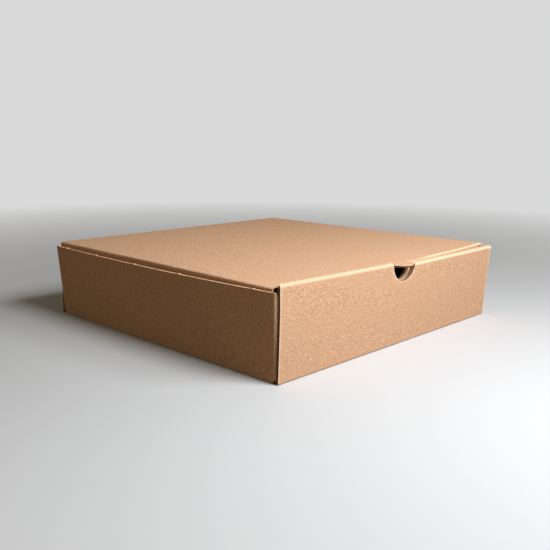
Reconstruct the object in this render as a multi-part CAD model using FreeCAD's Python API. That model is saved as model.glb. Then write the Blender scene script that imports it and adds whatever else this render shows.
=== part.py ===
import FreeCAD, Part
import math
import os

# Plain corrugated pizza box, folded from one blank, closed.
# Millimetres. The origin is the middle of the base on the table, the front faces -Y and +Z is up.

# The board
board = 1.6                  # thickness of the corrugated board
layer_gap = 0.3              # air between two layers that lie together
fold_inside = 0.1            # inside radius of a crease

# The base
base_width = 206.0           # outside, left to right
base_depth = 206.0           # outside, front to back

# The side walls, which stand out a little at the top
side_wall_height = 47.2
side_lean_front = 1.8        # how far the top stands out at the front end
side_lean_middle = 4.3
side_lean_back = 4.1
front_tab_length = 58.0      # corner tabs, folded in from the ends of each side wall
back_tab_length = 48.0
tab_height = 45.6            # top of the corner tabs

# The front wall, rolled over the front corner tabs
rim_height_left = 51.2       # top of the roll at its left end
rim_height_notch_left = 49.8
rim_height_notch_right = 47.9
rim_height_right = 48.1
front_lean_left = 1.1        # how far the roll stands out at the height of the side walls
front_lean_right = 2.5
front_flare = 0.9            # how far the right end of the front wall runs out at its top
rim_radius = 1.8             # rounding of the rolled rim
roll_end_slant = 45.0        # degrees that the ends of the roll are cut back, behind the outer layer
lock_tab_width = 26.0        # tabs of the inner layer, in slots of the base
lock_tab_spacing = 110.0
lock_tab_end = 0.4           # end of the lock tabs above the table

# The thumb notch in the front wall
notch_x = 1.5
notch_z = 49.4               # height of its centre
notch_radius = 11.0

# The back wall
back_lean = 1.4              # how far its top leans in
hinge_gap = 0.25             # air between the hinge fold and the back wall

# The lid
lid_top = 49.2               # top of the lid above the table
lid_width = 206.0
lid_front_gap = 0.7          # air between the lid's front fold and the roll, at the left end
side_flap_depth = 42.0       # below the top of the lid
side_flap_slant = 3.0        # degrees that the side flaps lean in
side_flap_taper = 8.0        # degrees that the ends of the side flaps are cut back
side_flap_back_gap = 5.0     # from the hinge axis to the back end of the side flaps
side_fold_back_gap = 1.5     # the same, of their folds
front_flap_depth = 40.0
front_flap_slant = 7.0
front_flap_taper = 3.0
front_flap_side_gap = 5.0    # from the side of the lid to the end of the front flap
thumb_tab_radius = 10.4      # half-moon tab over the notch, cut out of the front flap

# Worked out from the above
fold_radius = board + fold_inside
half_width = base_width / 2
half_depth = base_depth / 2
roll_depth = 3 * board + 2 * layer_gap
lean_height = side_wall_height - fold_radius
axis_z = lid_top - board / 2
axis_y = half_depth - back_lean - board / 2
lid_front = -half_depth + roll_depth - front_lean_left + lid_front_gap
lid_side = lid_width / 2


def rise(z):
    """Share of a wall's lean that it has at height z."""
    return (z - fold_radius) / lean_height


def front_y(depth, x, z):
    """Place of a front layer, counted from the outer face of the front wall."""
    share = (x + half_width) / base_width
    lean = front_lean_left + (front_lean_right - front_lean_left) * share
    return -half_depth + depth - lean * rise(z)


def back_y(depth, z):
    """Place of a back layer, counted from the outer face of the back wall."""
    return half_depth - depth - back_lean * rise(z)


def side_x(depth, lean, z):
    """Place of a side wall, counted from its outer face."""
    return half_width - depth + lean * rise(z)


def vector(x, y, z):
    return FreeCAD.Vector(x, y, z)


def closed_wire(steps):
    """Closed wire: a point makes a straight edge, a pair (middle, end) makes an arc."""
    edges = []
    start = steps[0]
    last = start
    for step in steps[1:] + [start]:
        if isinstance(step, tuple):
            middle, end = step
            edges.append(Part.Arc(last, middle, end).toShape())
        else:
            end = step
            edges.append(Part.LineSegment(last, end).toShape())
        last = end
    return Part.Wire(edges)


def joined(wires):
    """Solid with straight lines from each section to the next."""
    return Part.makeLoft(wires, True, True)


def prism(points, direction):
    """Solid swept from a closed outline of straight edges."""
    outline = Part.Face(Part.makePolygon(points + [points[0]]))
    return outline.extrude(direction)


def box(low, high):
    return Part.makeBox(high[0] - low[0], high[1] - low[1], high[2] - low[2], vector(*low))


def fuse_all(solids):
    whole = solids[0].multiFuse(solids[1:])
    return whole.removeSplitter()


def fold_ring(y_outer, z_outer, y_sign, z_sign, length):
    """Quarter ring of board along X, from x = 0: a fold whose outer faces are at y_outer and z_outer."""
    centre_y = y_outer - y_sign * fold_radius
    centre_z = z_outer - z_sign * fold_radius
    inner = fold_radius - board
    slant = math.sqrt(0.5)

    def at(radius, along_y, along_z):
        return vector(0, centre_y + y_sign * radius * along_y, centre_z + z_sign * radius * along_z)

    outline = closed_wire([
        at(fold_radius, 1, 0),
        (at(fold_radius, slant, slant), at(fold_radius, 0, 1)),
        at(inner, 0, 1),
        (at(inner, slant, slant), at(inner, 1, 0)),
    ])
    return Part.Face(outline).extrude(vector(length, 0, 0))


def shifted(shape, x, y=0, z=0):
    moved = shape.copy()
    moved.translate(vector(x, y, z))
    return moved


def turned_to_side(shape, side):
    """Turn a piece made for the front so that it lies on the left (-1) or right (+1) side."""
    moved = shape.copy()
    moved.rotate(vector(0, 0, 0), vector(0, 0, 1), 90 * side)
    return moved


# The tray
def side_band(side):
    """One side wall with its front and back corner tabs, folded from one strip."""
    seat = board + layer_gap

    def section(z):
        inner = fold_radius - board
        slant = 1 - math.sqrt(0.5)
        x0 = side_x(0, side_lean_front, z)
        x1 = side_x(0, side_lean_middle, z)
        x2 = side_x(0, side_lean_back, z)
        y0 = front_y(seat, side * (x0 - fold_radius), z)
        y2 = back_y(seat, z)
        front_end = half_width - front_tab_length
        back_end = half_width - back_tab_length
        y_front_end = front_y(seat, side * front_end, z)

        def at(x, y):
            return vector(side * x, y, z)

        def along(x_front, x_middle, x_back, y_front, y_back):
            if z > fold_radius:
                return at(x_middle, 0.0), at(x_back, y_back)
            return at(x_back, y_back)

        out_cut = fold_radius * slant
        in_cut = fold_radius - inner * (1 - slant)
        steps = [
            at(front_end, y_front_end),
            at(x0 - fold_radius, y0),
            (at(x0 - out_cut, y0 + out_cut), at(x0, y0 + fold_radius)),
            along(x0, x1, x2, y0 + fold_radius, y2 - fold_radius),
            (at(x2 - out_cut, y2 - out_cut), at(x2 - fold_radius, y2)),
            at(back_end, y2),
            at(back_end, y2 - board),
            at(x2 - fold_radius, y2 - board),
            (at(x2 - in_cut, y2 - in_cut), at(x2 - board, y2 - fold_radius)),
            along(x2 - board, x1 - board, x0 - board, y2 - fold_radius, y0 + fold_radius),
            (at(x0 - in_cut, y0 + in_cut), at(x0 - fold_radius, y0 + board)),
            at(front_end, y_front_end + board),
        ]
        return closed_wire(steps)

    band = joined([section(fold_radius), section(side_wall_height)])
    reach = side_wall_height + board
    clear = half_width - board
    front_cut = box((-clear, -base_depth, tab_height), (clear, -half_depth + roll_depth, reach))
    back_line = half_depth - back_lean - 2 * board - 2 * layer_gap
    back_cut = box((-clear, back_line, tab_height), (clear, base_depth, reach))
    return band.cut(front_cut).cut(back_cut)


def roll_section(x, height):
    """Section of the rolled front wall: up the outside, over the rim and down the inside."""
    inner_end = board + layer_gap
    cut = rim_radius * (1 - math.sqrt(0.5))

    def at(depth, z):
        return vector(x, front_y(depth, x, z), z)

    return closed_wire([
        at(0, fold_radius),
        at(0, height - rim_radius),
        (at(cut, height - cut), at(rim_radius, height)),
        at(roll_depth - rim_radius, height),
        (at(roll_depth - cut, height - cut), at(roll_depth, height - rim_radius)),
        at(roll_depth, inner_end),
        at(roll_depth - board, inner_end),
        at(roll_depth - board, height - board),
        at(board, height - board),
        at(board, fold_radius),
    ])


def end_section(x, height, flare):
    """Section of the single outer layer, beside the ends of the roll."""
    cut = board * (1 - math.sqrt(0.5))

    def at(depth, z):
        return vector(x + flare * rise(z), front_y(depth, x, z), z)

    return closed_wire([
        at(0, fold_radius),
        at(0, height - board),
        (at(cut, height - cut), at(board, height)),
        at(board, fold_radius),
    ])


def roll_end_cut(side):
    """Wedge that cuts back one end of the roll's rim and inner layer."""
    end = half_width - board - layer_gap
    start = board + layer_gap
    finish = roll_depth + board
    inset = (finish - start) * math.tan(math.radians(roll_end_slant))

    def outline(z):
        corners = [(end, start), (half_width, start), (half_width, finish), (end - inset, finish)]
        return closed_wire([vector(side * x, front_y(depth, side * x, z), z) for x, depth in corners])

    return joined([outline(fold_radius), outline(rim_height_left + board)])


def front_wall():
    """Rolled front wall with its thumb notch and its fold to the base."""
    end = half_width - board - layer_gap
    left = notch_x - notch_radius
    right = notch_x + notch_radius
    roll = joined([
        roll_section(-end, rim_height_left),
        roll_section(left, rim_height_notch_left),
        roll_section(right, rim_height_notch_right),
        roll_section(end, rim_height_right),
    ])
    for side in (-1, 1):
        roll = roll.cut(roll_end_cut(side))
    left_end = joined([end_section(-half_width, rim_height_left, 0), end_section(-end, rim_height_left, 0)])
    right_end = joined([end_section(end, rim_height_right, 0), end_section(half_width, rim_height_right, front_flare)])
    fold = shifted(fold_ring(-half_depth, 0, -1, -1, base_width), -half_width)
    notch = Part.makeCylinder(notch_radius, base_depth, vector(notch_x, -base_depth, notch_z), vector(0, 1, 0))
    mouth = box((left, -base_depth, notch_z), (right, 0, lid_top + fold_radius))
    wall = fuse_all([roll, left_end, right_end, fold])
    return wall.cut(notch).cut(mouth)


def lock_tab(x, widen, low):
    """Tab of the front wall's inner layer, or with widen the slot that it goes through."""
    top = board + 2 * layer_gap
    front = front_y(roll_depth - board, 0, fold_radius)
    half = lock_tab_width / 2
    return box((x - half - widen, front - widen, low), (x + half + widen, front + board + widen, top))


def back_wall():
    """Back wall, which leans in a little, with its fold to the base."""
    top = axis_z - board / 2 - hinge_gap
    outline = [
        vector(-half_width, back_y(0, fold_radius), fold_radius),
        vector(-half_width, back_y(0, top), top),
        vector(-half_width, back_y(board, top), top),
        vector(-half_width, back_y(board, fold_radius), fold_radius),
    ]
    panel = prism(outline, vector(base_width, 0, 0))
    fold = shifted(fold_ring(half_depth, 0, 1, -1, base_width), -half_width)
    return panel.fuse(fold)


def tray():
    flat_x = half_width - fold_radius
    flat_y = half_depth - fold_radius
    floor = box((-flat_x, -flat_y, 0), (flat_x, flat_y, board))
    side_length = base_depth - 2 * (board + layer_gap + fold_radius)
    ring = shifted(fold_ring(-half_width, 0, -1, -1, side_length), -side_length / 2)
    pieces = [floor, front_wall(), back_wall()]
    for side in (-1, 1):
        pieces.append(side_band(side))
        pieces.append(turned_to_side(ring, side))
    whole = fuse_all(pieces)
    for x in (-lock_tab_spacing / 2, lock_tab_spacing / 2):
        whole = whole.cut(lock_tab(x, layer_gap, -board))
        whole = whole.fuse(lock_tab(x, 0, lock_tab_end))
    return whole.removeSplitter()


# The lid
def side_flap(side):
    """Side flap of the lid with its fold, tucked inside the side wall."""
    front = lid_front + fold_radius
    back = axis_y - side_flap_back_gap
    fold_back = axis_y - side_fold_back_gap
    length = fold_back - front
    drop = side_flap_depth - fold_radius
    lean = drop * math.tan(math.radians(side_flap_slant))
    cut = drop * math.tan(math.radians(side_flap_taper))
    z_top = lid_top - fold_radius
    z_low = lid_top - side_flap_depth
    upper = [
        vector(side * lid_side, front, z_top),
        vector(side * lid_side, back, z_top),
        vector(side * (lid_side - board), back, z_top),
        vector(side * (lid_side - board), front, z_top),
    ]
    lower = [
        vector(side * (lid_side - lean), front + cut, z_low),
        vector(side * (lid_side - lean), back - cut, z_low),
        vector(side * (lid_side - lean - board), back - cut, z_low),
        vector(side * (lid_side - lean - board), front + cut, z_low),
    ]
    flap = joined([closed_wire(upper), closed_wire(lower)])
    ring = turned_to_side(shifted(fold_ring(-lid_side, lid_top, -1, 1, length), -length / 2), side)
    return flap.fuse(shifted(ring, 0, (front + fold_back) / 2))


def front_flap():
    """Front flap of the lid with its fold, tucked behind the rolled front wall."""
    drop = front_flap_depth - fold_radius
    lean = drop * math.tan(math.radians(front_flap_slant))
    cut = drop * math.tan(math.radians(front_flap_taper))
    z_top = lid_top - fold_radius
    z_low = lid_top - front_flap_depth
    end = lid_side - front_flap_side_gap
    upper = [
        vector(-end, lid_front, z_top),
        vector(end, lid_front, z_top),
        vector(end, lid_front + board, z_top),
        vector(-end, lid_front + board, z_top),
    ]
    lower = [
        vector(-end + cut, lid_front + lean, z_low),
        vector(end - cut, lid_front + lean, z_low),
        vector(end - cut, lid_front + lean + board, z_low),
        vector(-end + cut, lid_front + lean + board, z_low),
    ]
    flap = joined([closed_wire(upper), closed_wire(lower)])
    ring_length = 2 * (lid_side - fold_radius)
    ring = shifted(fold_ring(lid_front, lid_top, -1, 1, ring_length), -ring_length / 2)
    hole_depth = 4 * fold_radius
    hole = Part.makeCylinder(thumb_tab_radius, hole_depth,
                             vector(notch_x, lid_front - fold_radius, lid_top), vector(0, 1, 0))
    return flap.fuse(ring).cut(hole)


def lid():
    flat_x = lid_side - fold_radius
    z_low = lid_top - board
    panel = box((-flat_x, lid_front + fold_radius, z_low), (flat_x, axis_y, lid_top))
    nose = Part.makeCylinder(board / 2, 2 * flat_x, vector(-flat_x, axis_y, axis_z), vector(1, 0, 0))
    disc = Part.makeCylinder(thumb_tab_radius, board, vector(notch_x, lid_front, z_low))
    behind = box((notch_x - thumb_tab_radius, lid_front, z_low),
                 (notch_x + thumb_tab_radius, lid_front + fold_radius, lid_top))
    pieces = [panel, nose, disc, behind, front_flap()]
    for side in (-1, 1):
        pieces.append(side_flap(side))
    return fuse_all(pieces)


nodes = {"tray": tray(), "lid": lid()}

os.makedirs("parts", exist_ok=True)
for name, shape in nodes.items():
    shape.exportStep("parts/" + name + ".step")
    print(name, "solids", len(shape.Solids), "valid", shape.isValid(), "volume", round(shape.Volume, 1))
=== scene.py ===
import math

import bpy
from mathutils import Matrix, Vector


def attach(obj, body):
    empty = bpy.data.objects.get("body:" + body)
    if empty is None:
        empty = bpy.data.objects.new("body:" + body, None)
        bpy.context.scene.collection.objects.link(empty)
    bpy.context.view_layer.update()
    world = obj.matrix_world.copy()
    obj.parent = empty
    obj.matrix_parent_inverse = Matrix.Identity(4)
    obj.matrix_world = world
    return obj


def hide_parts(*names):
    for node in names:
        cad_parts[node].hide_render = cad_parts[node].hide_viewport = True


# Plain corrugated pizza box, folded from one blank, closed.
# Sizes are in millimetres up to the meshes, which are in metres.

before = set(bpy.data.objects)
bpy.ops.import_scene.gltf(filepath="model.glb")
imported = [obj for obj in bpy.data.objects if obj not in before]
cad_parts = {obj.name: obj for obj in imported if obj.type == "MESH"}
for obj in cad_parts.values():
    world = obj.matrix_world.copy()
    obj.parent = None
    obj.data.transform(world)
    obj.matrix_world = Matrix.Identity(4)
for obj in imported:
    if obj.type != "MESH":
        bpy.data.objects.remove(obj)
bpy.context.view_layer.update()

MM = 0.001

# The board and its folds
BOARD = 1.6
LAYER_GAP = 0.3
FOLD = 1.0                   # outside radius of a creased fold
FOLD_STEPS = 6
EDGE_LOOP = 0.4              # flat strip beside a fold, so that the fold shades by itself
FLUTE_PITCH = 3.2

# The base and the walls
HALF_WIDTH = 103.0
HALF_DEPTH = 103.0
FLOOR_EDGE = HALF_WIDTH - BOARD
SEAT = BOARD + LAYER_GAP     # depth at which the next layer begins
SIDE_HEIGHT = 47.2
SIDE_LEAN = (1.8, 4.3, 4.9)  # front end, middle, back end
SIDE_END = HALF_DEPTH - SEAT - BOARD
SIDE_DIP = 0.9               # how far a side wall's top edge sags in the middle
CORNER_PULL = 20.0           # length over which a side wall follows the lean of its corner
CORNER_FOLD = 1.6            # outside radius of the corner folds
CORNER_WEAR = 0.1            # wear of the corner folds
FRONT_TAB = 58.0             # reach of the corner tabs, from the outer face of the side wall
BACK_TAB = 48.0
TAB_HEIGHT = 45.6
TAB_FOOT = 0.1               # gap between the base and the corner tabs
TAB_COLUMNS = 8
LEAN_FOOT = BOARD + 0.1      # height at which the walls begin to lean
NICKS = (-86.0, -29.0, 12.0, 52.5, 87.0, 97.0)  # places of torn tufts along a side wall's top edge
NICK_RISE = 0.5
NICK_HALF = 1.3              # half width of a tuft
TOP_STRIP = 0.7              # strip below the top edge within which the tufts rise
EDGE_CRUSH = 0.6             # how far the flutes along the top edge are pressed shut

# The rolled front wall
RIM_RADIUS = 1.8             # outside radius of the roll's two creases
ROLL = 3 * BOARD + 2 * LAYER_GAP
FRONT_LEAN = (1.1, 2.5)      # left end, right end
FRONT_WAVE = 0.07            # height of the waves in the wall
WAVE_START = 0.6
WAVE_X = 19.0                # lengths of the waves along the wall and up it, over two pi
WAVE_Z = 13.0
WAVE_GROWTH = 4              # the waves are whole from a quarter of the wall's height
WALL_ROWS = 10
RIM_HEIGHTS = (51.6, 50.2, 47.9, 48.4)  # left end, left and right of the notch, right end
RIM_DIP = 0.25               # hollow between the two creases of the roll, right of the notch
RIM_DIP_GROWTH = 40.0        # length over which it sets in
RIM_DIP_END = 90.0           # from here to the right end it fades
RIM_TILT = 0.6               # rise of the roll's inner crease beside the notch, on its right
TILT_GROWTH = 3.0            # length over which it sets in
TILT_FADE = (45.0, 5.0)      # distances from the notch between which it fades, far one first
TILT_AT_END = 0.4            # share of it that comes back at the right end
TILT_END_START = 88.0        # x from which it does

# The ends of the rolled front wall
END_REACH = 12.0             # length at each end in which the wall is cut back, flared or bulged
FRONT_FLARE = 0.9            # flare of the right end
CREST_FLARE = 0.9            # more flare of the roll's crest there
CREST_LOW = SIDE_HEIGHT - 1.5  # heights between which it sets in
CREST_HIGH = SIDE_HEIGHT + 0.5
CREST_HOLD = 4               # power that keeps the crest's flare close to the end
BULGE = 0.6                  # bulge of the left end
BULGE_Z = 47.0
BULGE_HEIGHT = 3.0
BULGE_HOLD = 8               # power that keeps the bulge close to the end
CUT_SQUARE = 0.9             # depth of the roll's ends that is cut square, before they slant back
CUT_END_HIGHLIGHT = 1.3               # painted highlight of the liner along the cut ends, laid on like wear width of that painted highlight
CUT_STRIP = 1.4              # width of that wear
LEFT_ROLL_WEAR_AND_HIGHLIGHT = 0.7         # the roll's wear and painted highlight are weaker left of the notch

# The thumb notch and the lock tabs
NOTCH_X = 1.5
NOTCH_Z = 49.9
NOTCH_RADIUS = 11.3
NOTCH_COLUMNS = 28
NOTCH_MARGIN = 1.0           # distance of the next column beside the notch
NOTCH_WEAR_AND_HIGHLIGHT = 1.2             # wear of the liner along the notch's edge, with a painted highlight width of that wear and painted highlight
NOTCH_STRIP = 1.1            # width of that wear
NOTCH_CRUSH = 0.9            # how far the inner layer's cut edge in the notch is pressed shut
LOCK_TAB_X = 55.0
LOCK_TAB_WIDTH = 26.0
LOCK_TAB_END = 0.4           # height at which the tabs end in their slots
LOCK_TAB_TRIM = 0.6          # cut corners of the tabs
LOCK_TAB_SINK = 0.02         # the tabs begin this far below the end of the inner layer
LOCK_TAB_COLUMNS = 6

# The back wall and the hinge
BACK_LEAN = 1.4
HINGE_GAP = 0.25             # gap between the back wall and the hinge end of the lid

# The lid
LID_TOP = 49.2
LID_SIDE = 103.0
LID_FRONTS = (-98.2, -99.2)  # left end, right end
LID_SETTLE = 0.6             # sag of the lid towards its front fold
SETTLE_AT_LEFT = 0.35        # share of it at the left edge
SETTLE_GROWTH = (-60.0, 10.0)  # x between which it grows to the whole
SETTLE_FADE = (95.0, 40.0)   # x between which it fades to the right, far one first
SETTLE_DEPTH = (0.0, -94.0)  # y between which it sets in
LID_DIP = 0.95               # hollow of the front fold, right of the thumb tab
LID_DIP_GROWTH = (12.0, 17.0)  # x between which it sets in
LID_DIP_FADE = (45.0, 20.0)  # x between which it fades, far one first
LID_DIP_DEPTH = (-78.0, -97.0)  # y between which it sets in
LID_LIFT = 0.75              # rise of the right edge, from nothing at the hinge to all of it in front
LIFT_START = 70.0            # x from which it rises
LID_ROWS = 36
FOLD_FRONT = 0.1             # the side folds and flaps begin this far behind the front fold's face
SIDE_FOLD_WEAR = 0.25
SIDE_FLAP_DEPTH = 42.0
SIDE_FLAP_SLANT = math.tan(math.radians(3.0))
SIDE_FLAP_TAPER = math.tan(math.radians(8.0))
SIDE_FLAP_GAP = 5.0          # distance of the side flaps from the hinge
SIDE_FLAP_ROWS = 8
HINGE_STRIP = 1.8            # strip under the side folds that reaches closer to the hinge
HINGE_STRIP_GAP = 1.3
HINGE_WEAR = 0.7
FRONT_FLAP_DEPTH = 40.0
FRONT_FLAP_SLANT = math.tan(math.radians(7.0))
FRONT_FLAP_TAPER = math.tan(math.radians(3.0))
FRONT_FLAP_END = 98.0
FRONT_FLAP_ROWS = 10
CORNER_SLIT = 0.15           # slit between the ends of the front fold and the side folds
AXIS_Y = HALF_DEPTH - BACK_LEAN - BOARD / 2
AXIS_Z = LID_TOP - BOARD / 2

# The thumb tab
THUMB_X = 1.6
THUMB_RADIUS = 10.4
THUMB_COLUMNS = 28
THUMB_ROWS = 8
THUMB_CURL = 0.5             # the tab's tip bends down by this much
CURL_HOLD = 3                # power that keeps the bend close to the tip
THUMB_UNDERCUT = 1.3         # the tab's edge slants back underneath
THUMB_PRESS = 0.4            # and is pressed thinner by the cut
CUT_HOLD = 4                 # power that keeps both close to the edge
THUMB_CUT = 0.9              # gap between the tab and the hole that it leaves in the flap

# Meshes: material slots, and how closely points have to match
LINER, INNER, RAW = 0, 1, 2
SAME_POINT = 0.002           # corners of a face that are closer than this are one
SEAM_DIGITS = 2              # decimals to which the borders of two patches match
POINT_DIGITS = 3             # decimals to which points of one liner match
TOLERANCE = 0.01             # slack of comparisons between lengths
SHARP_ANGLE = 50.0           # faces that meet at more than this aren't shaded as one
END_COLUMNS = (1.0, 2.4, 4.5, 8.0)  # distances of the columns near the ends of the front wall
X_STEP = 7.0                 # widest columns of the tray's base, front and back
Y_STEP = 5.0                 # widest columns of its side walls
LID_STEP = 6.0               # widest columns of the lid


# Shapes of the folded walls

def mix(a, b, share):
    return a + (b - a) * share


def smooth_step(low, high, value):
    share = min(1.0, max(0.0, (value - low) / (high - low)))
    return share * share * (3 - 2 * share)


def rise(z):
    """Share of a wall's lean that it has at height z."""
    return max(0.0, (z - LEAN_FOOT) / (SIDE_HEIGHT - LEAN_FOOT))


def front_y(depth, x, z):
    """Depth of the front wall's layers, counted inwards from its outer face."""
    share = (x + HALF_WIDTH) / (2 * HALF_WIDTH)
    lean = mix(FRONT_LEAN[0], FRONT_LEAN[1], share)
    wave = FRONT_WAVE * math.sin(x / WAVE_X + WAVE_START) * math.sin(z / WAVE_Z)
    return -HALF_DEPTH + depth - lean * rise(z) - wave * min(1.0, rise(z) * WAVE_GROWTH)


def front_x(x, cut, z):
    """Place along the front wall, whose ends are cut back with the roll, flared and bulged."""
    near = max(0.0, 1 - (HALF_WIDTH - abs(x)) / END_REACH)
    if x > 0:
        crest = CREST_FLARE * smooth_step(CREST_LOW, CREST_HIGH, z)
        return x + near * (FRONT_FLARE * rise(z) - cut) + near ** CREST_HOLD * crest
    bump = BULGE * math.exp(-((z - BULGE_Z) / BULGE_HEIGHT) ** 2) * max(0.0, 1 - cut / RIM_RADIUS)
    return x + near * cut - near ** BULGE_HOLD * bump


def back_y(depth, z):
    """Depth of the back wall's faces, counted inwards from its outer one."""
    return HALF_DEPTH - depth - BACK_LEAN * rise(z)


def side_lean(y):
    """Lean of a side wall's top at y: a bow through its ends and its middle."""
    share = (y + HALF_DEPTH) / (2 * HALF_DEPTH)
    start, middle, end = SIDE_LEAN
    return (start * (1 - share) * (1 - 2 * share) + 4 * middle * share * (1 - share)
            + end * share * (2 * share - 1))


def rim_height(x):
    """Height of the roll, higher on the left of the notch than on its right."""
    left_end, left, right, right_end = RIM_HEIGHTS
    if x < NOTCH_X:
        share = (x + HALF_WIDTH) / (HALF_WIDTH + NOTCH_X - NOTCH_RADIUS)
        return mix(left_end, left, min(1.0, share))

    share = (HALF_WIDTH - x) / (HALF_WIDTH - NOTCH_X - NOTCH_RADIUS)
    return mix(right_end, right, min(1.0, share))


def notch_half(z):
    """Half width of the round notch at height z."""
    return math.sqrt(max(0.0, NOTCH_RADIUS ** 2 - (NOTCH_Z - z) ** 2))


def notch_side(side):
    """Where the notch leaves the flat of the wall and enters the roll."""
    flat_top = rim_height(NOTCH_X + side * NOTCH_RADIUS) - RIM_RADIUS
    return NOTCH_X + side * notch_half(flat_top)


NOTCH_LEFT = notch_side(-1)
NOTCH_RIGHT = notch_side(1)


def notch_z(x):
    """Height of the notch's edge at x."""
    return NOTCH_Z - math.sqrt(max(0.0, NOTCH_RADIUS ** 2 - (x - NOTCH_X) ** 2))


def rim_dip(x):
    """Hollow between the two creases of the roll."""
    grown = smooth_step(NOTCH_RIGHT, NOTCH_RIGHT + RIM_DIP_GROWTH, x)
    return RIM_DIP * grown * smooth_step(HALF_WIDTH, RIM_DIP_END, x)


def rim_tilt(x):
    """Rise of the roll's inner crease."""
    far, close = TILT_FADE
    grown = smooth_step(NOTCH_RIGHT, NOTCH_RIGHT + TILT_GROWTH, x)
    beside = grown * smooth_step(NOTCH_RIGHT + far, NOTCH_RIGHT + close, x)
    return RIM_TILT * max(beside, TILT_AT_END * smooth_step(TILT_END_START, HALF_WIDTH, x))


def lid_front(x):
    """Outer face of the lid's front fold, a little askew."""
    inside = max(-FLOOR_EDGE, min(FLOOR_EDGE, x))
    return mix(LID_FRONTS[0], LID_FRONTS[1], (inside + HALF_WIDTH) / (2 * HALF_WIDTH))


def lid_z(x, y):
    """Top of the lid: it settles in front, dips beside the thumb tab and lifts at its right edge."""
    across = mix(SETTLE_AT_LEFT, 1.0, smooth_step(*SETTLE_GROWTH, x)) * smooth_step(*SETTLE_FADE, x)
    settle = LID_SETTLE * across * smooth_step(*SETTLE_DEPTH, y)
    beside = smooth_step(*LID_DIP_GROWTH, x) * smooth_step(*LID_DIP_FADE, x)
    dip = LID_DIP * beside * smooth_step(*LID_DIP_DEPTH, y)
    corner = smooth_step(LIFT_START, LID_SIDE, x) * (HALF_DEPTH - y) / (2 * HALF_DEPTH)
    return LID_TOP - settle - dip + LID_LIFT * corner


# Grids

def spread(low, high, count):
    return [mix(low, high, step / count) for step in range(count + 1)]


def spread_round(low, high, count):
    """Values close together at both ends, for the columns of a half-moon."""
    middle, half = (low + high) / 2, (high - low) / 2
    between = [middle - half * math.cos(math.pi * step / count) for step in range(1, count)]
    return [low] + between + [high]


def filled(values, gap):
    """The values in order, with more between them wherever two lie further apart than the gap."""
    ordered = sorted(set(values))
    result = []
    for low, high in zip(ordered, ordered[1:]):
        result += spread(low, high, max(1, math.ceil((high - low) / gap)))[:-1]
    return result + [ordered[-1]]


def fold(radius):
    """Stations round a right angle: outer point, inner point and bend, inwards from its two faces."""
    hub = max(radius, BOARD)
    inner_radius = hub - BOARD
    stations = []
    for step in range(FOLD_STEPS + 1):
        angle = math.radians(90 * step / FOLD_STEPS)
        across, along = math.sin(angle), math.cos(angle)
        outer = (radius - radius * across, radius - radius * along)
        inner = (hub - inner_radius * across, hub - inner_radius * along)
        stations.append((outer, inner, 1.0 if 0 < step < FOLD_STEPS else 0.0))
    if radius < BOARD:
        stations.insert(0, ((BOARD, 0.0), (BOARD, BOARD), 0.0))
        stations.append(((0.0, BOARD), (BOARD, BOARD), 0.0))
    return stations


def backwards(stations):
    return list(reversed(stations))


# Board

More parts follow.
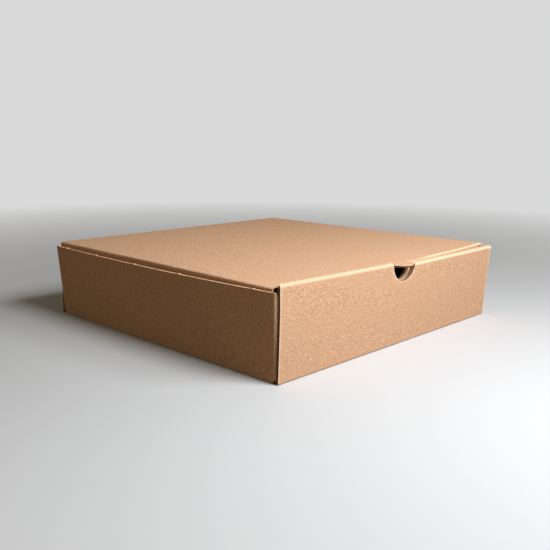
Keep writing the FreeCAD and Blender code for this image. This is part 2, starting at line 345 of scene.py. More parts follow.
class Sheet:
    """Folded board: patches of a grid, each with an outer and an inner liner and raw edges."""

    def __init__(self):
        self.faces = []
        self.borders = {}

    def face(self, corners, slot, flip):
        """Corners are (point, (u, v), wear and painted highlight); corners that fall together are dropped.
        """
        kept = []
        for corner in corners:
            if all((corner[0] - other[0]).length > SAME_POINT for other in kept):
                kept.append(corner)
        if len(kept) > 2:
            self.faces.append((backwards(kept) if flip else kept, slot))

    def patch(self, rows, keep=None):
        """Rows of stations (outer point, inner point, (u, v) on the flat blank, wear and painted highlight,
        torn).
        """
        count, width = len(rows) - 1, len(rows[0]) - 1

        def kept(i, j):
            inside = 0 <= i < count and 0 <= j < width
            return inside and (keep is None or keep(i, j))

        cells = [(i, j) for i in range(count) for j in range(width) if kept(i, j)]
        facing = 0.0
        for i, j in cells:
            a, b, d = rows[i][j], rows[i][j + 1], rows[i + 1][j]
            facing += (b[0] - a[0]).cross(d[0] - a[0]).dot(a[0] - a[1])
        flip = facing < 0
        for i, j in cells:
            cell = [rows[i][j], rows[i][j + 1], rows[i + 1][j + 1], rows[i + 1][j]]
            self.face([(c[0], c[2], c[3]) for c in cell], LINER, flip)
            self.face([(c[1], c[2], c[3]) for c in backwards(cell)], INNER, flip)
            sides = [(kept(i - 1, j), 0, 1), (kept(i, j + 1), 1, 2),
                     (kept(i + 1, j), 2, 3), (kept(i, j - 1), 3, 0)]
            for neighbour, a, b in sides:
                if not neighbour:
                    self.border(cell[a], cell[b], flip)

    def border(self, first, second, flip):
        """Open edge of a patch. Where another patch goes on from it, both lose it."""
        ends = []
        for station in (first, second):
            place = station[0]
            ends.append(tuple(round(value, SEAM_DIGITS) for value in place))
        key = tuple(sorted(ends))
        if key in self.borders:
            del self.borders[key]
        else:
            self.borders[key] = (first, second, flip)

    def close(self):
        """Raw edges along the borders that are left."""
        for first, second, flip in self.borders.values():
            corners = []
            for station, outside in ((second, 1.0), (first, 1.0), (first, 0.0), (second, 0.0)):
                point = station[0] if outside else station[1]
                corners.append((point, (station[2][1], outside / MM), station[4]))
            self.face(corners, RAW, flip)

    def build(self, name, materials):
        """Mesh object in metres, with shared points inside each liner so that folds shade smoothly."""
        self.close()
        mesh = bpy.data.meshes.new(name)
        index, places, faces = {}, [], []
        for number, (corners, slot) in enumerate(self.faces):
            face = []
            for point, _, _ in corners:
                key = (slot, *(round(value, POINT_DIGITS) for value in point))
                if slot == RAW:
                    key = key + (number,)
                if key not in index:
                    index[key] = len(places)
                    places.append(point * MM)
                face.append(index[key])
            faces.append(face)
        mesh.from_pydata(places, [], faces)
        mesh.uv_layers.new(name="board")
        mesh.attributes.new("wear_and_highlight", "FLOAT", "CORNER")
        flat_map = mesh.uv_layers["board"]
        wear_and_highlight = mesh.attributes["wear_and_highlight"]
        for polygon, (corners, slot) in zip(mesh.polygons, self.faces):
            polygon.material_index = slot
            polygon.use_smooth = slot != RAW
            for corner, (_, uv, amount) in zip(polygon.loop_indices, corners):
                flat_map.data[corner].uv = (uv[0] * MM, uv[1] * MM)
                wear_and_highlight.data[corner].value = amount
        for material in materials:
            mesh.materials.append(material)
        mesh.set_sharp_from_angle(angle=math.radians(SHARP_ANGLE))
        mesh.validate()
        piece = bpy.data.objects.new(name, mesh)
        bpy.context.scene.collection.objects.link(piece)
        return piece


# Columns and rows that the folded parts share

SLOT_LOW = -HALF_DEPTH + ROLL - SEAT
SLOT_HIGH = SLOT_LOW + BOARD + 2 * LAYER_GAP
HALF_SLOT = LOCK_TAB_WIDTH / 2 + LAYER_GAP

X_MARKS = [-FLOOR_EDGE, FLOOR_EDGE]
for end_step in END_COLUMNS:
    X_MARKS += [-FLOOR_EDGE + end_step, FLOOR_EDGE - end_step]
for slot_middle in (-LOCK_TAB_X, LOCK_TAB_X):
    X_MARKS += [slot_middle - HALF_SLOT, slot_middle + HALF_SLOT]
X_MARKS += spread_round(NOTCH_LEFT, NOTCH_RIGHT, NOTCH_COLUMNS)
X_COLUMNS = filled(X_MARKS + [NOTCH_LEFT - NOTCH_MARGIN, NOTCH_RIGHT + NOTCH_MARGIN], X_STEP)

Y_MARKS = [-SIDE_END, -SIDE_END + EDGE_LOOP, SLOT_HIGH, SIDE_END - EDGE_LOOP, SIDE_END]
for nick in NICKS:
    Y_MARKS += [nick - NICK_HALF, nick - NICK_HALF / 3, nick + NICK_HALF / 3, nick + NICK_HALF]
Y_COLUMNS = filled(Y_MARKS, Y_STEP)


# Tray

def build_floor(sheet):
    """Base with the slots of the two lock tabs."""
    levels = [-FLOOR_EDGE] + Y_COLUMNS + [FLOOR_EDGE]
    rows = []
    for y in levels:
        rows.append([(Vector((x, y, 0.0)), Vector((x, y, BOARD)), (x, y), 0.0, 0.0) for x in X_COLUMNS])

    def keep(i, j):
        x = (X_COLUMNS[j] + X_COLUMNS[j + 1]) / 2
        y = (levels[i] + levels[i + 1]) / 2
        in_slot = min(abs(x - LOCK_TAB_X), abs(x + LOCK_TAB_X)) < HALF_SLOT
        return not (in_slot and SLOT_LOW < y < SLOT_HIGH)

    sheet.patch(rows, keep)


def front_path(x):
    """From the base round the bottom fold, up, over the roll and down to the base, at column x.

    Gives (outer depth and height, inner depth and height, bend, rolled)."""
    height = rim_height(x)
    in_notch = NOTCH_LEFT < x < NOTCH_RIGHT
    top = notch_z(x) if in_notch else height - RIM_RADIUS
    path = [(outer, inner, bend, False) for outer, inner, bend in fold(FOLD)]
    for z in spread(BOARD + EDGE_LOOP, top - NOTCH_STRIP, WALL_ROWS - 1):
        path.append(((0.0, z), (BOARD, z), 0.0, False))
    path.append(((0.0, top), (BOARD, top), 0.0, False))
    for (depth, down), (in_depth, in_down), bend in backwards(fold(RIM_RADIUS))[1:]:
        path.append(((depth, height - down), (in_depth, height - in_down), bend, True))
    low = height - rim_dip(x)
    path.append(((ROLL / 2, low), (ROLL / 2, low - BOARD), 0.0, True))
    tilt = rim_tilt(x)
    height += tilt
    for (depth, down), (in_depth, in_down), bend in fold(RIM_RADIUS)[:-1]:
        path.append(((ROLL - depth, height - down), (ROLL - in_depth, height - in_down), bend, True))
    for z in spread(top + tilt, SEAT, WALL_ROWS):
        path.append(((ROLL, z), (ROLL - BOARD, z), 0.0, True))
    return path


def build_front(sheet):
    """Front wall of one piece with its roll; the notch leaves the roll out."""
    columns = [-HALF_WIDTH, -HALF_WIDTH + CUT_STRIP] + X_COLUMNS + [HALF_WIDTH - CUT_STRIP, HALF_WIDTH]
    paths = [front_path(x) for x in columns]
    # The roll's rows go from the top of the outer layer to the top of the inner one
    roll_end = len(paths[0]) - WALL_ROWS - 1
    roll_start = roll_end - 2 * FOLD_STEPS - 2

    def place(x, spot, cut, z_flat, z):
        along = front_x(x, cut, z)
        if x in (NOTCH_LEFT, NOTCH_RIGHT):
            side = -1 if x == NOTCH_LEFT else 1
            along = NOTCH_X + side * notch_half(max(z, z_flat))
        return Vector((along, front_y(spot[0], x, spot[1]), spot[1]))

    rows = []
    lengths = [0.0] * len(columns)
    for i in range(len(paths[0])):
        row = []
        for j, x in enumerate(columns):
            outer, inner, bend, rolled = paths[j][i]
            if i:
                lengths[j] += math.dist(outer, paths[j][i - 1][0])
            cut = max(0.0, outer[0] - CUT_SQUARE) if rolled else 0.0
            flat_top = paths[j][roll_start][0][1]
            first = place(x, outer, cut, flat_top, outer[1])
            second = place(x, inner, cut, flat_top, outer[1])
            beside_notch = math.hypot(x - NOTCH_X, outer[1] - NOTCH_Z) - NOTCH_RADIUS
            # Lighter paper along the roll's creases, the cut ends and the notch's edge: partly wear, partly
            # painted highlight
            rim_wear_and_highlight = bend * (LEFT_ROLL_WEAR_AND_HIGHLIGHT if x < NOTCH_X else 1.0)
            rim_wear_and_highlight = max(rim_wear_and_highlight, CUT_END_HIGHLIGHT if abs(x) == HALF_WIDTH else 0.0)
            rim_wear_and_highlight = max(rim_wear_and_highlight, NOTCH_WEAR_AND_HIGHLIGHT * (1 - max(0.0, beside_notch) / NOTCH_STRIP))
            crushed = NOTCH_CRUSH if i >= roll_end else 0.0
            row.append((first, second, (x, -FLOOR_EDGE - lengths[j]), rim_wear_and_highlight, crushed))
        rows.append(row)

    def keep(i, j):
        middle = (columns[j] + columns[j + 1]) / 2
        return not (NOTCH_LEFT < middle < NOTCH_RIGHT and roll_start <= i < roll_end)

    sheet.patch(rows, keep)


def build_lock_tabs(sheet):
    """Tabs of the front wall's inner layer, down through the slots of the base."""
    front = -HALF_DEPTH + ROLL
    for centre in (-LOCK_TAB_X, LOCK_TAB_X):
        rows = []
        for z in (SEAT - LOCK_TAB_SINK, BOARD, LOCK_TAB_END + LOCK_TAB_TRIM, LOCK_TAB_END):
            trim = LOCK_TAB_TRIM if z == LOCK_TAB_END else 0.0
            half = LOCK_TAB_WIDTH / 2 - trim
            row = []
            for x in spread(centre - half, centre + half, LOCK_TAB_COLUMNS):
                row.append((Vector((x, front, z)), Vector((x, front - BOARD, z)), (x, z), 0.0, 0.0))
            rows.append(row)
        sheet.patch(rows)


def build_back(sheet):
    """Back wall with its bottom fold."""
    top = AXIS_Z - BOARD / 2 - HINGE_GAP
    columns = [-HALF_WIDTH] + X_COLUMNS + [HALF_WIDTH]
    path = fold(FOLD)
    path += [((0.0, z), (BOARD, z), 0.0) for z in spread(BOARD + EDGE_LOOP, top, WALL_ROWS)]
    rows, length = [], 0.0
    for number, (outer, inner, bend) in enumerate(path):
        if number:
            length += math.dist(outer, path[number - 1][0])
        row = []
        for x in columns:
            first = Vector((x, back_y(*outer), outer[1]))
            second = Vector((x, back_y(*inner), inner[1]))
            row.append((first, second, (x, FLOOR_EDGE + length), bend, 0.0))
        rows.append(row)
    sheet.patch(rows)


def nick_at(y):
    """Share of a torn tuft's rise that the top edge has at y."""
    nearest = min(abs(y - nick) for nick in NICKS)
    return max(0.0, 1 - nearest / NICK_HALF)


def side_columns():
    """Columns of a side wall with its corner tabs, in order from the front tab to the back tab.

    Gives (kind, outer point, inner point, bend); on the wall itself both points are just y."""
    columns = []
    for inwards in spread(FRONT_TAB, BOARD + EDGE_LOOP, TAB_COLUMNS):
        columns.append(("front", (inwards, 0.0), (inwards, BOARD), 0.0))
    for outer, inner, bend in fold(CORNER_FOLD):
        columns.append(("front", outer, inner, bend))
    for y in Y_COLUMNS[1:-1]:
        columns.append(("wall", y, y, 0.0))
    for outer, inner, bend in backwards(fold(CORNER_FOLD)):
        columns.append(("back", outer, inner, bend))
    for inwards in spread(BOARD + EDGE_LOOP, BACK_TAB, TAB_COLUMNS):
        columns.append(("back", (inwards, 0.0), (inwards, BOARD), 0.0))
    return columns


def side_point(side, kind, spot, z, inside):
    """Point of a side wall or its corner tabs at height z."""
    if kind == "wall":
        pull_front = max(0.0, 1 - (spot + SIDE_END) / CORNER_PULL)
        pull_back = max(0.0, 1 - (SIDE_END - spot) / CORNER_PULL)
        shift_front = front_y(SEAT, side * HALF_WIDTH, z) - (-HALF_DEPTH + SEAT)
        shift_back = back_y(SEAT, z) - (HALF_DEPTH - SEAT)
        x = HALF_WIDTH + side_lean(spot) * rise(z) - inside
        return Vector((side * x, spot + pull_front * shift_front + pull_back * shift_back, z))
    end = -SIDE_END if kind == "front" else SIDE_END
    x = HALF_WIDTH + side_lean(end) * rise(z) - spot[0]
    if kind == "front":
        return Vector((side * x, front_y(SEAT, side * HALF_WIDTH, z) + spot[1], z))
    return Vector((side * x, back_y(SEAT, z) - spot[1], z))


def build_side(sheet, side):
    """Side wall with its bottom fold, its two corner folds and its corner tabs."""
    rows, length = [], 0.0
    path = fold(FOLD)
    for number, (outer, inner, bend) in enumerate(path):
        if number:
            length += math.dist(outer, path[number - 1][0])
        row = []
        for y in Y_COLUMNS:
            first = Vector((side * (HALF_WIDTH - outer[0]), y, outer[1]))
            second = Vector((side * (HALF_WIDTH - inner[0]), y, inner[1]))
            row.append((first, second, (side * (FLOOR_EDGE + length), y), bend, 0.0))
        rows.append(row)
    sheet.patch(rows)

    columns = side_columns()
    levels = [BOARD, BOARD + EDGE_LOOP] + spread(BOARD + EDGE_LOOP, TAB_HEIGHT, WALL_ROWS)[1:]
    levels += [SIDE_HEIGHT - TOP_STRIP, SIDE_HEIGHT]
    tab_top = levels.index(TAB_HEIGHT)
    rows = []
    for number, level in enumerate(levels):
        row, run, last = [], -HALF_DEPTH - FRONT_TAB, None
        for kind, outer, inner, bend in columns:
            foot = kind == "wall" or outer[0] < TOLERANCE
            z = BOARD + TAB_FOOT if number == 0 and not foot else level
            torn = 1.0
            if kind == "wall":
                torn = max(EDGE_CRUSH, nick_at(outer))
                z -= SIDE_DIP * rise(level) * (1 - (outer / SIDE_END) ** 2)
                if number == len(levels) - 1:
                    z += NICK_RISE * nick_at(outer)
            first = side_point(side, kind, outer, z, 0.0)
            second = side_point(side, kind, inner, z, BOARD)
            if last is not None:
                run += (Vector((first.x, first.y)) - last).length
            last = Vector((first.x, first.y))
            row.append((first, second, (side * (HALF_WIDTH + z), run), CORNER_WEAR * bend, torn))
        rows.append(row)

    def keep(i, j):
        flat_tab = columns[j][0] != "wall" and columns[j + 1][0] == columns[j][0]
        flat_tab = flat_tab and max(columns[j][1][0], columns[j + 1][1][0]) > BOARD
        return not (flat_tab and i >= tab_top)

    sheet.patch(rows, keep)


# Lid

LID_ROOT = 2 * HALF_DEPTH + LID_TOP  # where the lid lies along the flat blank
TAB_LEFT = THUMB_X - THUMB_RADIUS
TAB_RIGHT = THUMB_X + THUMB_RADIUS
SIDE_FLAP_BACK = AXIS_Y - SIDE_FLAP_GAP
LID_MARKS = [-FLOOR_EDGE, -FLOOR_EDGE + EDGE_LOOP, -FRONT_FLAP_END,
             TAB_LEFT - THUMB_CUT, TAB_LEFT - THUMB_CUT / 2,
             TAB_RIGHT + THUMB_CUT / 2, TAB_RIGHT + THUMB_CUT,
             FRONT_FLAP_END, FLOOR_EDGE - EDGE_LOOP, FLOOR_EDGE]
LID_COLUMNS = filled(LID_MARKS + spread_round(TAB_LEFT, TAB_RIGHT, THUMB_COLUMNS), LID_STEP)


def thumb_reach(x):
    """How far the thumb tab stands out of the lid at x."""
    return math.sqrt(max(0.0, THUMB_RADIUS ** 2 - (x - THUMB_X) ** 2))


def hole_reach(x):
    """How far down the front flap the hole that the tab leaves goes at x."""
    return math.sqrt(max(0.0, (THUMB_RADIUS + THUMB_CUT) ** 2 - (x - THUMB_X) ** 2))


def cross_path():
    """Across the lid from the left flap's end to the right one's.

    Gives (side, outer point, inner point, bend). Points are (inwards, down), or (x, down) on the
    panel, whose side is 0."""
    half = []
    for down in spread(SIDE_FLAP_DEPTH, BOARD + HINGE_STRIP, SIDE_FLAP_ROWS) + [BOARD + EDGE_LOOP]:
        slant = (down - BOARD) * SIDE_FLAP_SLANT
        half.append(((slant, down), (slant + BOARD, down), 0.0))
    half += backwards(fold(FOLD))
    path = [(-1, outer, inner, bend) for outer, inner, bend in half]
    for x in LID_COLUMNS[1:-1]:
        path.append((0, (x, 0.0), (x, BOARD), 0.0))
    path += [(1, outer, inner, bend) for outer, inner, bend in backwards(half)]
    return path


def build_lid_panel(sheet):
    """Lid panel with its rounded hinge end, side folds and side flaps."""
    path = cross_path()
    edge_share = EDGE_LOOP / (2 * SIDE_FLAP_BACK)
    shares = [None, 0.0, edge_share] + spread(0.0, 1.0, LID_ROWS)[1:]
    flap_rows = len(shares) - 1
    rows = []

    def station(side, outer, inner, bend, share, y_fixed):
        """Share 0 is the panel's front, 1 the flaps' back end, and None the front of the side folds."""
        x = outer[0] if side == 0 else side * (LID_SIDE - outer[0])
        in_x = inner[0] if side == 0 else side * (LID_SIDE - inner[0])
        first_y = lid_front(x) + FOLD_FRONT
        front = lid_front(x) + BOARD
        y = y_fixed
        if y is None:
            y = first_y if share is None else mix(front, SIDE_FLAP_BACK, share)
        top = lid_z(x, y)
        v = LID_ROOT - y
        if side and outer[1] > BOARD:
            cut = (outer[1] - BOARD) * SIDE_FLAP_TAPER
            y = mix(first_y + cut, SIDE_FLAP_BACK - cut, (y - first_y) / (SIDE_FLAP_BACK - first_y))
            if y_fixed is not None:
                y = AXIS_Y - HINGE_STRIP_GAP
        bend *= SIDE_FOLD_WEAR
        u = x if side == 0 else side * (LID_SIDE - outer[0] + outer[1])
        crushed = 1.0 if side and share in (None, 0.0) else 0.0
        return (Vector((x, y, top - outer[1])), Vector((in_x, y, top - inner[1])), (u, v), bend, crushed)

    for share in shares:
        rows.append([station(*entry, share, None) for entry in path])
    rows.append([station(*entry, 1.0, AXIS_Y) for entry in path])
    # The hinge end is half round: the outer liner goes over it and the inner one under it
    for step in range(1, FOLD_STEPS + 1):
        angle = math.radians(90 * step / FOLD_STEPS)
        row = []
        for first, second, (u, v), bend, torn in rows[len(shares)]:
            ends = []
            for point in (first, second):
                z = AXIS_Z + (point.z - AXIS_Z) * math.cos(angle)
                ends.append(Vector((point.x, AXIS_Y + BOARD / 2 * math.sin(angle), z)))
            row.append((*ends, (u, v - BOARD / 2 * angle), HINGE_WEAR, torn))
        rows.append(row)

    def keep(i, j):
        ends = (path[j], path[j + 1])
        deepest = max(entry[1][1] for entry in ends)
        if deepest > BOARD and ends[0][0]:
            in_strip = i == flap_rows and deepest < BOARD + HINGE_STRIP + TOLERANCE
            return i < flap_rows or in_strip
        panel = 0 in (ends[0][0], ends[1][0])
        return i > 0 or not panel

    sheet.patch(rows, keep)


def build_lid_front(sheet):
    """Front fold, which stops short left of the flap, and the front flap with the thumb tab's hole."""
    columns = LID_COLUMNS
    ring = fold(FOLD)
    rows = []
    length = 0.0
    for number, (outer, inner, bend) in enumerate(ring):
        if number:
            length += math.dist(outer, ring[number - 1][0])
        last = number == len(ring) - 1
        row = []
        for x in columns:
            y = lid_front(x)
            top = lid_z(x, y)
            place = x * (1 - CORNER_SLIT / FLOOR_EDGE) if number and abs(x) == FLOOR_EDGE else x
            sunk = max(outer[1], hole_reach(x)) if last else outer[1]
            in_sunk = max(inner[1], hole_reach(x)) if last else inner[1]
            first = Vector((place, y + outer[0], top - sunk))
            second = Vector((place, y + inner[0], top - in_sunk))
            row.append((first, second, (x, LID_ROOT - y + length), bend, 0.0))
        rows.append(row)
    ring_rows = len(rows)
    for share in spread(0.0, 1.0, FRONT_FLAP_ROWS)[1:]:
        row = []
        for x in columns:
            start = max(BOARD, hole_reach(x))
            down = mix(start, FRONT_FLAP_DEPTH, share)
            away = (down - start) * FRONT_FLAP_SLANT
            narrow = 1 - (down - start) * FRONT_FLAP_TAPER / FRONT_FLAP_END
            y = lid_front(x)
            first = Vector((x * narrow, y + away, lid_z(x, y) - down))
            second = first + Vector((0, BOARD, 0))
            row.append((first, second, (x, LID_ROOT - y + down), 0.0, 0.0))
        rows.append(row)

    def keep(i, j):
        middle = (columns[j] + columns[j + 1]) / 2
        beside_flap = abs(middle) > FRONT_FLAP_END
        if i < ring_rows - 1:
            whole = not beside_flap or middle > 0 or i < ring_rows // 2
            return whole and not TAB_LEFT - THUMB_CUT < middle < TAB_RIGHT + THUMB_CUT
        return not beside_flap

    sheet.patch(rows, keep)


def build_thumb_tab(sheet):
    """Half-moon tab that stays in the lid's plane over the notch."""
    columns = [x for x in LID_COLUMNS if TAB_LEFT <= x <= TAB_RIGHT]
    rows = []
    for share in spread(0.0, 1.0, THUMB_ROWS):
        row = []
        for x in columns:
            y = mix(lid_front(x) + BOARD, lid_front(x) - thumb_reach(x), share)
            out = max(0.0, (lid_front(x) - y) / THUMB_RADIUS)
            first = Vector((x, y, lid_z(x, y) - THUMB_CURL * out ** CURL_HOLD))
            edge = share ** CUT_HOLD
            second = first + Vector((0, THUMB_UNDERCUT * edge, -BOARD * (1 - THUMB_PRESS * edge)))
            row.append((first, second, (x, LID_ROOT - y), 0.0, 0.0))
        rows.append(row)
    sheet.patch(rows)


# Materials

class Nodes:
    """Small helper that adds shader nodes and links them."""

    def __init__(self, name):
        self.material = bpy.data.materials.new(name)
        self.material.use_nodes = True
        self.tree = self.material.node_tree
        self.shader = self.tree.nodes["Principled BSDF"]

    def add(self, kind, settings=None, inputs=None):
        node = self.tree.nodes.new(kind)
        for key, value in (settings or {}).items():
            setattr(node, key, value)
        for key, value in (inputs or {}).items():
            if isinstance(value, bpy.types.NodeSocket):
                self.tree.links.new(value, node.inputs[key])
            else:
                node.inputs[key].default_value = value
        return node

    def math(self, operation, first, second=0.0, third=None):
        inputs = {0: first, 1: second}
        if third is not None:
            inputs[2] = third
        return self.add("ShaderNodeMath", {"operation": operation}, inputs).outputs[0]

    def noise(self, vector, scale, detail=3.0, roughness=0.6):
        inputs = {"Vector": vector, "Scale": scale, "Detail": detail, "Roughness": roughness}
        return self.add("ShaderNodeTexNoise", {}, inputs).outputs["Fac"]

    def blend(self, factor, first, second, kind="MIX"):
        node = self.add("ShaderNodeMix", {"data_type": "RGBA", "blend_type": kind})
        for socket, value in ((node.inputs[0], factor), (node.inputs[6], first), (node.inputs[7], second)):
            if isinstance(value, bpy.types.NodeSocket):
                self.tree.links.new(value, socket)
            else:
                socket.default_value = value
        return node.outputs[2]

    def between(self, value, low, high, out_low=0.0, out_high=1.0):
        inputs = {"Value": value, "From Min": low, "From Max": high, "To Min": out_low, "To Max": out_high}
        return self.add("ShaderNodeMapRange", {}, inputs).outputs[0]

    def set(self, name, value):
        if isinstance(value, bpy.types.NodeSocket):
            self.tree.links.new(value, self.shader.inputs[name])
        else:
            self.shader.inputs[name].default_value = value


def srgb(red, green, blue):
    """Colour given in 8 bit sRGB, as linear values."""
    linear = []
    for channel in (red, green, blue):
        value = channel / 255
        linear.append(value / 12.92 if value <= 0.04045 else ((value + 0.055) / 1.055) ** 2.4)
    return (*linear, 1.0)


KRAFT = srgb(210, 167, 132)
KRAFT_DARK = srgb(172, 130, 97)
KRAFT_LIGHT = srgb(243, 201, 167)
FIBRE_DARK = srgb(160, 118, 86)
FIBRE_LIGHT = srgb(232, 196, 166)
# Lighter paper of worn folds and cut edges, also laid on as painted highlight
WORN_PAPER_AND_HIGHLIGHT = srgb(240, 216, 188)
CUT_DARK = srgb(201, 152, 113)
CUT_LIGHT = srgb(239, 197, 160)
# Painted shade in the hollows of the flutes, on the cut edge
HOLLOW_SHADE_DARK = srgb(60, 38, 24)
HOLLOW_SHADE_LIGHT = srgb(98, 66, 42)
INSIDE_TINT = 0.93

# Noises of the paper: scales, and ranges that give lowest and highest input, then output
CLOUD_SCALE = 28.0
GRAIN_SCALE = 1350.0
FIBRE_SCALE = 1100.0
FIBRE_STRETCH = 2.6
TONE_RANGE = (0.36, 0.64)
CLOUD_RANGE = (0.3, 0.7, 0.0, 0.25)
DARK_FIBRES = (0.64, 0.76, 0.0, 0.4)
LIGHT_FLECKS = (0.66, 0.78, 0.0, 0.5)
# Share of the lighter paper on folds and edges: wear with painted highlight
SCUFF_AND_HIGHLIGHT_RANGE = (0.35, 0.6, 0.35, 0.8)
PAPER_ROUGHNESS = (0.3, 0.7, 0.8, 0.92)
PAPER_RELIEF = 0.0001

# The cut edge: heights are shares of the board's thickness, and ranges are as above
CUT_SCALE = 900.0
CUT_RANGE = (0.35, 0.65)
WOBBLE_SCALE = 160.0
WOBBLE = 1.2
FLUTE_HEIGHT = 0.36
FLUTE_EDGE = (0.06, 0.13, 1.0, 0.0)
LINER_EDGE = (0.38, 0.42)
CRUSH_RANGE = (0.6, 0.9)
CUT_RELIEF = 0.0003


def kraft_material(name, tint=1.0):
    """Unbleached kraft liner: fine pulp grain, short fibres along the web, and lighter folds and cut edges,
    partly worn paper and partly painted highlight.
    """
    n = Nodes(name)
    flat = n.add("ShaderNodeUVMap", {"uv_map": "board"}).outputs[0]
    solid = n.add("ShaderNodeTexCoord").outputs["Object"]
    cloud = n.noise(solid, CLOUD_SCALE, 2.0, 0.5)
    grain = n.noise(solid, GRAIN_SCALE, 2.0, 0.5)
    stretch = n.add("ShaderNodeMapping", {}, {"Vector": flat, "Scale": (FIBRE_STRETCH, 1.0, 1.0)}).outputs[0]
    fibres = n.noise(stretch, FIBRE_SCALE, 1.0, 0.5)
    tone = n.math("ADD", n.math("MULTIPLY", grain, 0.5), n.math("MULTIPLY", fibres, 0.5))
    colour = n.blend(n.between(tone, *TONE_RANGE), KRAFT_DARK, KRAFT_LIGHT)
    colour = n.blend(n.between(cloud, *CLOUD_RANGE), colour, KRAFT)
    colour = n.blend(n.between(fibres, *DARK_FIBRES), colour, FIBRE_DARK)
    colour = n.blend(n.between(grain, *LIGHT_FLECKS), colour, FIBRE_LIGHT)
    wear_and_highlight = n.add("ShaderNodeAttribute", {"attribute_name": "wear_and_highlight"}).outputs["Fac"]
    # Lighter paper on folds, cut ends and the notch's edge: partly wear, partly painted highlight
    scuff_and_highlight = n.math("MULTIPLY", wear_and_highlight, n.between(fibres, *SCUFF_AND_HIGHLIGHT_RANGE))
    colour = n.blend(scuff_and_highlight, colour, WORN_PAPER_AND_HIGHLIGHT)
    if tint != 1.0:
        shade = (tint, tint, tint, 1.0)
        colour = n.blend(1.0, colour, shade, "MULTIPLY")
    n.set("Base Color", colour)
    n.set("Roughness", n.between(grain, *PAPER_ROUGHNESS))
    n.set("Specular IOR Level", 0.25)
    bump = n.add("ShaderNodeBump", {}, {"Strength": 0.3, "Distance": PAPER_RELIEF, "Height": tone})
    n.set("Normal", bump.outputs[0])
    return n.material


def raw_edge_material():
    """Cut edge of corrugated board: two thin liners with a wavy flute between them, and painted shade in the
    hollows.
    """
    n = Nodes("kraft_raw_edge")
    flat = n.add("ShaderNodeUVMap", {"uv_map": "board"}).outputs[0]
    parts = n.add("ShaderNodeSeparateXYZ", {}, {0: flat})
    along, across = parts.outputs[0], parts.outputs[1]
    solid = n.add("ShaderNodeTexCoord").outputs["Object"]
    rough = n.noise(solid, CUT_SCALE)
    wobble = n.math("MULTIPLY", n.math("SUBTRACT", n.noise(solid, WOBBLE_SCALE, 2.0), 0.5), WOBBLE)
    angle = n.math("MULTIPLY", along, 2 * math.pi / (FLUTE_PITCH * MM))
    wave = n.math("MULTIPLY_ADD", n.math("SINE", n.math("ADD", angle, wobble)), FLUTE_HEIGHT, 0.5)
    off_flute = n.math("ABSOLUTE", n.math("SUBTRACT", across, wave))
    flute = n.between(off_flute, *FLUTE_EDGE)
    off_middle = n.math("ABSOLUTE", n.math("SUBTRACT", across, 0.5))
    liner = n.between(off_middle, *LINER_EDGE)
    torn = n.add("ShaderNodeAttribute", {"attribute_name": "wear_and_highlight"}).outputs["Fac"]
    crushed = n.between(n.math("ADD", torn, n.math("MULTIPLY", rough, 0.5)), *CRUSH_RANGE)
    solid_share = n.math("MAXIMUM", n.math("MAXIMUM", flute, liner), crushed)
    paper = n.blend(n.between(rough, *CUT_RANGE), CUT_DARK, CUT_LIGHT)
    # The hollows between the liners and the flute get painted shade
    hollow = n.blend(n.between(rough, *CUT_RANGE), HOLLOW_SHADE_DARK, HOLLOW_SHADE_LIGHT)
    n.set("Base Color", n.blend(solid_share, hollow, paper))
    n.set("Roughness", 0.95)
    n.set("Specular IOR Level", 0.15)
    bump = n.add("ShaderNodeBump", {}, {"Strength": 0.6, "Distance": CUT_RELIEF, "Height": solid_share})
    n.set("Normal", bump.outputs[0])
    return n.material


outside = kraft_material("kraft_outside")
inside = kraft_material("kraft_inside", INSIDE_TINT)
raw_edge = raw_edge_material()
materials = [outside, inside, raw_edge]

tray_sheet = Sheet()
build_floor(tray_sheet)
build_front(tray_sheet)
build_lock_tabs(tray_sheet)
build_back(tray_sheet)
for side in (-1, 1):
    build_side(tray_sheet, side)
tray = tray_sheet.build("tray_board", materials)

lid_sheet = Sheet()
build_lid_panel(lid_sheet)
build_lid_front(lid_sheet)
build_thumb_tab(lid_sheet)
lid = lid_sheet.build("lid_board", materials)

for piece, body in ((tray, "tray"), (lid, "lid")):
    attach(piece, body)
    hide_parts(body)


# Stage, light and camera

PALE = 0.70                  # light of the backdrop as the camera sees it
WORLD_LIGHT = 0.125          # light of the surroundings on the box
WORLD_TINT = (1.0, 0.84, 0.58)
FLOOR_REACH = 12.0
FLOOR_SEEN = srgb(206, 209, 213)
FLOOR_BOUNCE = srgb(118, 104, 90)
NEAR_FLOOR = 0.20            # metres from the middle of the box out to which the floor is lit
FAR_FLOOR = 0.80             # metres from which it is as pale as the backdrop
LIT_POINT = (0.0, -0.05, 0.03)
FILL_POINT = (-0.1, 0.0, 0.02)
CAMERA_PLACE = (-0.34731, -0.33566, 0.12432)
CAMERA_TURN = (46.041, 11.411, 0.554)  # heading, downward pitch and roll
SENSOR = 36.0
VIEW_WIDTH = 550             # width of the picture and focal length, in pixels
FOCAL_PIXELS = 715.96


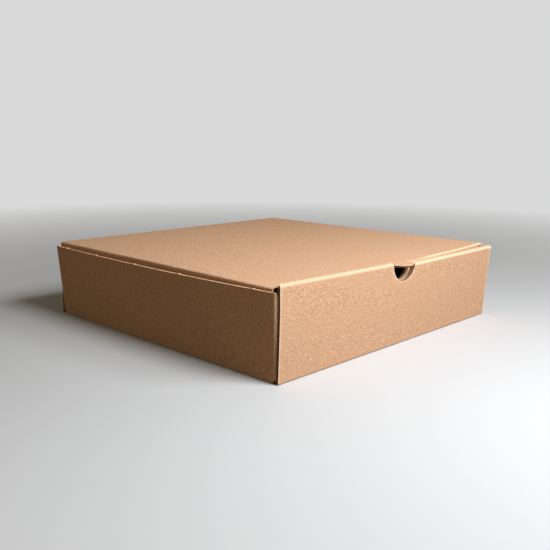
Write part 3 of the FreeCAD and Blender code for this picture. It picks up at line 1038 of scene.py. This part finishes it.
def stage_floor():
    """Pale floor that passes into the backdrop; its bounce on the box is a warm grey."""
    mesh = bpy.data.meshes.new("floor")
    corners = [(x * FLOOR_REACH, y * FLOOR_REACH, 0) for x, y in ((-1, -1), (1, -1), (1, 1), (-1, 1))]
    mesh.from_pydata(corners, [], [(0, 1, 2, 3)])
    n = Nodes("pale_floor")
    ray = n.add("ShaderNodeLightPath").outputs["Is Camera Ray"]
    n.set("Base Color", n.blend(ray, FLOOR_BOUNCE, FLOOR_SEEN))
    n.set("Roughness", 0.7)
    n.set("Specular IOR Level", 0.2)
    place = n.add("ShaderNodeTexCoord").outputs["Object"]
    distance = n.add("ShaderNodeVectorMath", {"operation": "LENGTH"}, {0: place}).outputs["Value"]
    far = n.math("MULTIPLY", n.between(distance, NEAR_FLOOR, FAR_FLOOR), ray)
    glow = n.add("ShaderNodeEmission", {}, {"Color": (PALE, PALE, PALE, 1.0), "Strength": 1.0})
    both = n.add("ShaderNodeMixShader", {}, {0: far, 1: n.shader.outputs[0], 2: glow.outputs[0]})
    n.tree.links.new(both.outputs[0], n.tree.nodes["Material Output"].inputs["Surface"])
    mesh.materials.append(n.material)
    floor = bpy.data.objects.new("floor", mesh)
    bpy.context.scene.collection.objects.link(floor)


def stage_world():
    """Weak warm light all round the box; the camera sees a pale backdrop."""
    world = bpy.data.worlds.new("studio")
    world.use_nodes = True
    tree = world.node_tree
    background = tree.nodes["Background"]
    ray = tree.nodes.new("ShaderNodeLightPath")
    seen = tree.nodes.new("ShaderNodeMix")
    seen.data_type = "RGBA"
    seen.inputs[6].default_value = (*(WORLD_LIGHT * channel for channel in WORLD_TINT), 1.0)
    seen.inputs[7].default_value = (PALE, PALE, PALE, 1.0)
    tree.links.new(ray.outputs["Is Camera Ray"], seen.inputs[0])
    tree.links.new(seen.outputs[2], background.inputs["Color"])
    bpy.context.scene.world = world


def area_light(name, place, target, size, power, tint=(1.0, 1.0, 1.0)):
    """Square lamp that the camera doesn't see, in metres and watts."""
    data = bpy.data.lights.new(name, "AREA")
    data.shape = "SQUARE"
    data.size = size
    data.energy = power
    data.color = tint
    lamp = bpy.data.objects.new(name, data)
    lamp.location = place
    lamp.visible_camera = False
    lamp.rotation_euler = (Vector(target) - Vector(place)).to_track_quat("-Z", "Y").to_euler()
    bpy.context.scene.collection.objects.link(lamp)


def add_camera():
    """Camera solved from the box's own edges."""
    yaw, pitch, roll = (math.radians(angle) for angle in CAMERA_TURN)
    forward = Vector((math.sin(yaw) * math.cos(pitch), math.cos(yaw) * math.cos(pitch), -math.sin(pitch)))
    level = Vector((math.cos(yaw), -math.sin(yaw), 0.0))
    up = level.cross(forward)
    right = level * math.cos(roll) + up * math.sin(roll)
    up = up * math.cos(roll) - level * math.sin(roll)
    data = bpy.data.cameras.new("camera")
    data.sensor_width = SENSOR
    data.lens = SENSOR * FOCAL_PIXELS / VIEW_WIDTH
    data.clip_end = 100.0
    camera = bpy.data.objects.new("camera", data)
    turn = Matrix((right, up, -forward)).transposed()
    camera.matrix_world = Matrix.Translation(CAMERA_PLACE) @ turn.to_4x4()
    bpy.context.scene.collection.objects.link(camera)
    bpy.context.scene.camera = camera


stage_floor()
stage_world()
area_light("far_key", place=(0.94, -1.40, 1.17), target=LIT_POINT, size=0.5, power=11.5)
area_light("near_key", place=(-0.03, -0.37, 0.36), target=LIT_POINT, size=0.2, power=2.5)
area_light("side_fill", place=(-1.2, 0.0, 0.35), target=FILL_POINT, size=0.8, power=0.65, tint=WORLD_TINT)
add_camera()
bpy.context.scene.view_settings.view_transform = "Standard"
